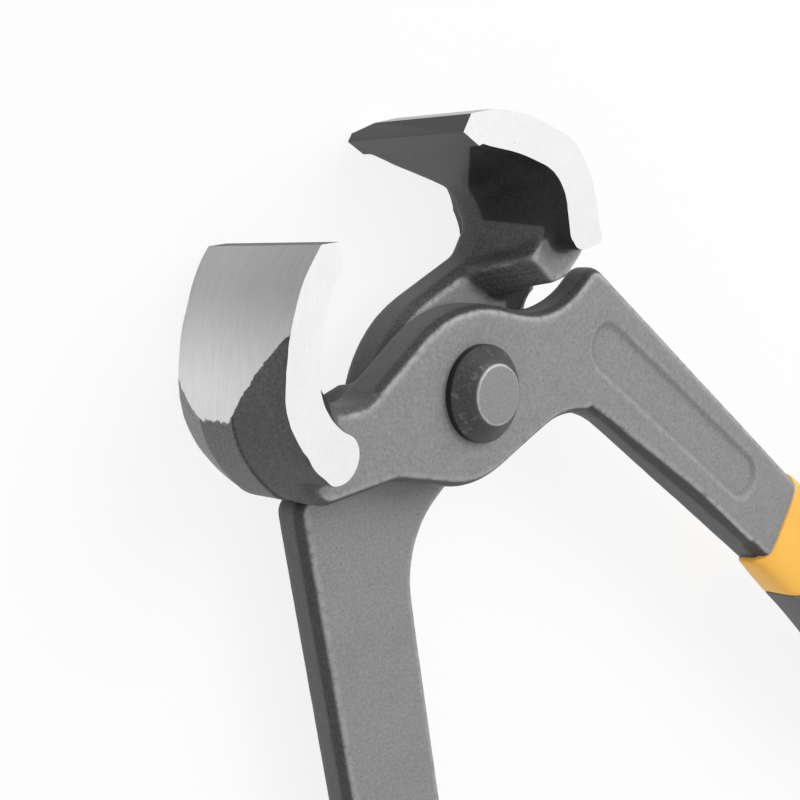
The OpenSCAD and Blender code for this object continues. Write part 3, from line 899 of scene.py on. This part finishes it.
def rivet_profile():
    """Radius and height of each corner of the rivet, from its upper to its lower middle."""
    seat = PLATE_TOP + HEAD_GAP
    top = seat + HEAD_HEIGHT
    foot = seat + FOOT_HEIGHT
    upper = [(radius, top) for radius in TOP_RINGS]
    upper += [(TOP_RADIUS + out, top + up) for out, up in RIM_STEPS]
    upper += [(TOP_RADIUS + (FOOT_RADIUS - TOP_RADIUS) * t, top + (foot - top) * t) for t in CONE_SHARES]
    upper += [(FOOT_RADIUS + out, foot + up) for out, up in FOOT_STEPS]
    upper += [(SHANK_RADIUS, seat)]
    return upper + [(radius, HEAD_GAP - height) for radius, height in reversed(upper)]


def turned(name, profile, count):
    """A closed mesh of a profile turned about z; a radius of 0 is a single point."""
    shape = bmesh.new()
    angles = [2 * math.pi * i / count for i in range(count)]
    rings = []
    for radius, height in profile:
        around = angles if radius > 0 else [0.0]
        rings.append([shape.verts.new((radius * math.cos(a), radius * math.sin(a), height)) for a in around])
    for upper, lower in zip(rings, rings[1:]):
        for i in range(count):
            j = (i + 1) % count
            corners = [upper[i % len(upper)], lower[i % len(lower)]]
            corners += [lower[j % len(lower)], upper[j % len(upper)]]
            shape.faces.new(list(dict.fromkeys(corners)))
    for face in shape.faces:
        face.smooth = True
    mesh = bpy.data.meshes.new(name)
    shape.to_mesh(mesh)
    shape.free()
    return mesh


def rivet(material):
    """The rivet on the pivot axis."""
    mesh = turned("rivet", rivet_profile(), RIVET_SIDES)
    radius = np.array([math.hypot(v.co.x, v.co.y) for v in mesh.vertices])
    add_layers(mesh, {
        "top": 1 - soft_step(radius, *TOP_BORDER),
        # The rim's layer marks where the painted highlight goes
        "rim": soft_step(radius, *RIM_HIGHLIGHT_INNER) * (1 - soft_step(radius, *RIM_HIGHLIGHT_OUTER)),
        # The foot's layer marks where the painted shadow goes
        "foot": soft_step(radius, *FOOT_SHADOW_BORDER),
    })
    mesh.transform(Matrix.Scale(MM, 4))
    mesh.materials.append(material)
    mesh.set_sharp_from_angle(angle=MOULDED_SHARP)
    put_in_scene("rivet", mesh, Matrix.Translation(PIVOT), "rear_half", "pivot_rivet")


# Grips: along, and the swelling of width and thickness from the collar's size to the full size
SWELL = np.array([
    [0, 0, 0],
    [0.03, 0.13, 0.09],
    [0.062, 0.24, 0.17],
    [0.1, 0.32, 0.26],
    [0.16, 0.34, 0.4],
    [0.24, 0.5, 0.62],
    [0.34, 0.84, 0.87],
    [0.44, 1, 1],
    [0.56, 0.97, 0.97],
    [0.68, 0.82, 0.88],
    [0.78, 0.76, 0.84],
    [0.86, 0.82, 0.88],
    [0.925, 0.94, 0.94],
    [0.965, 0.84, 0.88],
    [0.99, 0.2, 0.6],
    [1, -0.8, 0.2],
])
# Rounded edges of core and sleeve: their length along the grip, their middle, and how far each is set in at
# its face and at that middle
EDGE_LENGTH = 0.35 / GRIP_LENGTH
EDGE_MIDDLE = 0.3 * EDGE_LENGTH
CORE_EDGE = (0.35, 0.1)
SLEEVE_EDGE = (0.3, 0.08)
# The core's first face, the sleeve's overlap with the core, and the grip's last ring
FACE_INSET = 0.75
SLEEVE_LAP = 0.05
BUTT_END = 0.9995
# Distances between rings as shares of the grip: where it shows, under the sleeve, and round the butt
SHOWN_STEP = 0.012
HIDDEN_STEP = 0.04
BUTT_STEP = 0.004


def smooth_lookup(t, column):
    """A soft curve through one column of SWELL."""
    keys = SWELL[:, 0]
    values = SWELL[:, column]
    slopes = np.gradient(values, keys)
    i = int(np.clip(np.searchsorted(keys, t, side="right") - 1, 0, len(keys) - 2))
    step = keys[i + 1] - keys[i]
    u = (t - keys[i]) / step
    rise = (2 * u ** 3 - 3 * u ** 2 + 1) * values[i] + (-2 * u ** 3 + 3 * u ** 2) * values[i + 1]
    return rise + ((u ** 3 - 2 * u ** 2 + u) * slopes[i] + (u ** 3 - u ** 2) * slopes[i + 1]) * step


def swelling(t, column, collar, full):
    """The half width or half thickness of a grip between its collar's size and its full size."""
    return collar + (full - collar) * smooth_lookup(t, column)


def grip_ring(t, inset, middle, count=112):
    """One ring of points round a grip."""
    half_width = swelling(t, 1, COLLAR_HALF_WIDTH, GRIP_HALF_WIDTH) - inset
    half_thick = swelling(t, 2, COLLAR_HALF_THICKNESS, GRIP_HALF_THICKNESS) - inset
    scoop = np.interp(t, [0, SLEEVE_START, 2 * SLEEVE_START, 3 * SLEEVE_START],
                      [COLLAR_SCOOP, SLEEVE_SCOOP, SLEEVE_SCOOP / 2, 0])
    angles = 2 * np.pi * (np.arange(count) + 0.5) / count
    c, s = np.cos(angles), np.sin(angles)
    power = 2 / GRIP_POWER
    return np.column_stack([
        GRIP_X + half_width * np.sign(c) * np.abs(c) ** power,
        -GRIP_DROP - t * GRIP_LENGTH - scoop * (1 - np.abs(c) ** GRIP_POWER),
        middle + half_thick * np.sign(s) * np.abs(s) ** power,
    ])


def loft(name, rings, place, body, node, material):
    """A closed piece through rings of points."""
    count = len(rings[0])
    points = np.vstack(rings) * MM
    faces = []
    for i in range(len(rings) - 1):
        for k in range(count):
            m = (k + 1) % count
            faces.append((i * count + k, i * count + m, (i + 1) * count + m, (i + 1) * count + k))
    faces.append(tuple(range(count - 1, -1, -1)))
    faces.append(tuple(range((len(rings) - 1) * count, len(rings) * count)))
    mesh = bpy.data.meshes.new(name)
    mesh.from_pydata(points.tolist(), [], faces)
    mesh.polygons.foreach_set("use_smooth", [True] * len(faces))
    mesh.materials.append(material)
    mesh.set_sharp_from_angle(angle=MOULDED_SHARP)
    put_in_scene(name, mesh, place, body, node)


def stations(first, last, step):
    """Evenly spaced places along a grip, about a step apart."""
    return np.linspace(first, last, int(round((last - first) / step)) + 2)


def core_rings(middle):
    """The hard core: its collar, the waist under the sleeve, and its butt."""
    face, turn = CORE_EDGE
    places = [(0.0, FACE_INSET), (0.0, face), (EDGE_MIDDLE, turn)]
    places += [(t, 0) for t in stations(EDGE_LENGTH, SLEEVE_START - EDGE_LENGTH, SHOWN_STEP)]
    places += [(SLEEVE_START - EDGE_MIDDLE, turn), (SLEEVE_START, face)]
    places += [(t, SLEEVE_WALL) for t in stations(SLEEVE_START, SLEEVE_END, HIDDEN_STEP)]
    places += [(SLEEVE_END, face), (SLEEVE_END + EDGE_MIDDLE, turn)]
    places += [(t, 0) for t in stations(SLEEVE_END + EDGE_LENGTH, BUTT_END, BUTT_STEP)]
    return [grip_ring(t, inset, middle) for t, inset in places]


def sleeve_rings(middle):
    """The soft sleeve, from its upper to its lower face."""
    face, turn = SLEEVE_EDGE
    lap = SLEEVE_WALL - SLEEVE_LAP
    places = [(SLEEVE_START, lap), (SLEEVE_START, face), (SLEEVE_START + EDGE_MIDDLE, turn)]
    places += [(t, 0) for t in stations(SLEEVE_START + EDGE_LENGTH, SLEEVE_END - EDGE_LENGTH, SHOWN_STEP)]
    places += [(SLEEVE_END - EDGE_MIDDLE, turn), (SLEEVE_END, face), (SLEEVE_END, lap)]
    return [grip_ring(t, inset, middle) for t, inset in places]


def grip(side, place, body, relief, hard, soft):
    """The hard core with its collar and butt, and the soft sleeve round it."""
    middle = (PLATE_TOP - HANDLE_RELIEF) / 2 + relief
    loft(side + "_core", core_rings(middle), place, body, side + "_grip_core", hard)
    loft(side + "_sleeve", sleeve_rings(middle), place, body, side + "_grip_sleeve", soft)


# Studio: the sky's strength, the lamp's watts, size, place and aim, the floor's half side and its place just
# under the tool, and how much of the seen floor glows white by itself
SKY = 0.63
LAMP = 7.2
LAMP_SIZE = 0.9
LAMP_PLACE = Vector((0.75, 0.25, 0.82))
LAMP_AIM = Vector((0, 0.03, 0))
FLOOR_HALF = 6.0
FLOOR_PLACE = (0, 0, -0.2 * MM)
FLOOR_WHITE = 0.85
WHITE = (1, 1, 1, 1)


def seen_directly(nodes, links):
    """1 for rays of the eye, of mirrors and of glass, 0 for the soft light that falls on things."""
    ray = nodes.new("ShaderNodeLightPath")
    total = ray.outputs["Is Camera Ray"]
    for name in ("Is Glossy Ray", "Is Transmission Ray"):
        node = nodes.new("ShaderNodeMath")
        node.use_clamp = True
        links.new(total, node.inputs[0])
        links.new(ray.outputs[name], node.inputs[1])
        total = node.outputs[0]
    return total


def floor_material():
    """White to the eye and to mirrors, with only a breath of the tool's shadow; white paint to soft light."""
    s = Shader("floor")
    tone = s.mix(s.noise(s.place(), scale=0.004, detail=2.0), 0.93, 0.95)
    s.finish(s.grey(tone), 0.0, 0.9, specular=0.0)
    glow = s.nodes.new("ShaderNodeEmission")
    glow.inputs["Color"].default_value = WHITE
    glow.inputs["Strength"].default_value = 1.0
    both = s.nodes.new("ShaderNodeMixShader")
    s.links.new(s.times(seen_directly(s.nodes, s.links), FLOOR_WHITE), both.inputs[0])
    s.links.new(s.surface.outputs[0], both.inputs[1])
    s.links.new(glow.outputs[0], both.inputs[2])
    s.links.new(both.outputs[0], s.nodes["Material Output"].inputs["Surface"])
    return s.material


def sky():
    """An even white sky: plain light on things, and white to the eye and to mirrors."""
    world = bpy.data.worlds.new("sky")
    world.use_nodes = True
    nodes, links = world.node_tree.nodes, world.node_tree.links
    light = nodes["Background"]
    light.inputs["Color"].default_value = WHITE
    light.inputs["Strength"].default_value = SKY
    white = nodes.new("ShaderNodeBackground")
    white.inputs["Color"].default_value = WHITE
    white.inputs["Strength"].default_value = 1.0
    both = nodes.new("ShaderNodeMixShader")
    links.new(seen_directly(nodes, links), both.inputs[0])
    links.new(light.outputs[0], both.inputs[1])
    links.new(white.outputs[0], both.inputs[2])
    links.new(both.outputs[0], nodes["World Output"].inputs["Surface"])
    return world


def floor():
    """A large square just under the tool."""
    mesh = bpy.data.meshes.new("floor")
    corners = [(-1, -1), (1, -1), (1, 1), (-1, 1)]
    mesh.from_pydata([(x * FLOOR_HALF, y * FLOOR_HALF, 0) for x, y in corners], [], [(0, 1, 2, 3)])
    mesh.materials.append(floor_material())
    square = bpy.data.objects.new("floor", mesh)
    square.location = FLOOR_PLACE
    bpy.context.scene.collection.objects.link(square)


def studio():
    """A white floor, an even white sky and one wide soft lamp at the right."""
    scene = bpy.context.scene
    scene.view_settings.view_transform = "Standard"
    floor()
    scene.world = sky()
    lamp = bpy.data.lights.new("lamp", "AREA")
    lamp.shape = "DISK"
    lamp.size = LAMP_SIZE
    lamp.energy = LAMP
    holder = bpy.data.objects.new("lamp", lamp)
    scene.collection.objects.link(holder)
    holder.location = LAMP_PLACE
    holder.rotation_euler = (LAMP_AIM - LAMP_PLACE).to_track_quat("-Z", "Y").to_euler()


# Camera: its place in metres, the directions of the picture's right side and of the view, and its lens
CAMERA_PLACE = (-0.10845, 0.15105, 0.15191)
CAMERA_RIGHT = Vector((0.603747, -0.403890, 0.687286))
CAMERA_AHEAD = Vector((0.519678, -0.454366, -0.723524))
CAMERA_LENS = 69.287
CAMERA_SENSOR = 36.0
CAMERA_NEAR = 0.01


def camera():
    """The photograph's viewpoint, solved from its perspective."""
    data = bpy.data.cameras.new("camera")
    data.sensor_width = CAMERA_SENSOR
    data.lens = CAMERA_LENS
    data.clip_start = CAMERA_NEAR
    holder = bpy.data.objects.new("camera", data)
    bpy.context.scene.collection.objects.link(holder)
    up = CAMERA_RIGHT.cross(CAMERA_AHEAD)
    turn = Matrix((CAMERA_RIGHT, up, -CAMERA_AHEAD)).transposed().to_4x4()
    holder.matrix_world = Matrix.Translation(CAMERA_PLACE) @ turn
    bpy.context.scene.camera = holder


# The tool and its studio
bevels = [
    ground_steel("top_bevel", turn=15, dull=0.035, shiny=0.06),
    ground_steel("low_bevel", turn=70, dull=0.085, shiny=0.14),
]
front_steel = [
    forged_steel("forged_front", neck=1.1, throat=0.0),
    ground_steel("ground_front", turn=35, dull=0.73, shiny=0.9),
]
rear_steel = [
    forged_steel("forged_rear", neck=1.7, throat=0.9),
    ground_steel("ground_rear", turn=-15, dull=0.7, shiny=0.88),
]
lever("front_lever_forging", "front_lever", FRONT, "front_half", is_rear=False,
      materials=front_steel + bevels, seed=5)
lever("rear_lever_forging", "rear_lever", REAR, "rear_half", is_rear=True,
      materials=rear_steel + bevels, seed=11)
rivet(rivet_steel())
hard = hard_plastic()
soft = soft_plastic()
grip("front", FRONT, "front_half", HANDLE_RELIEF, hard, soft)
grip("rear", REAR, "rear_half", 0.0, hard, soft)
studio()
camera()
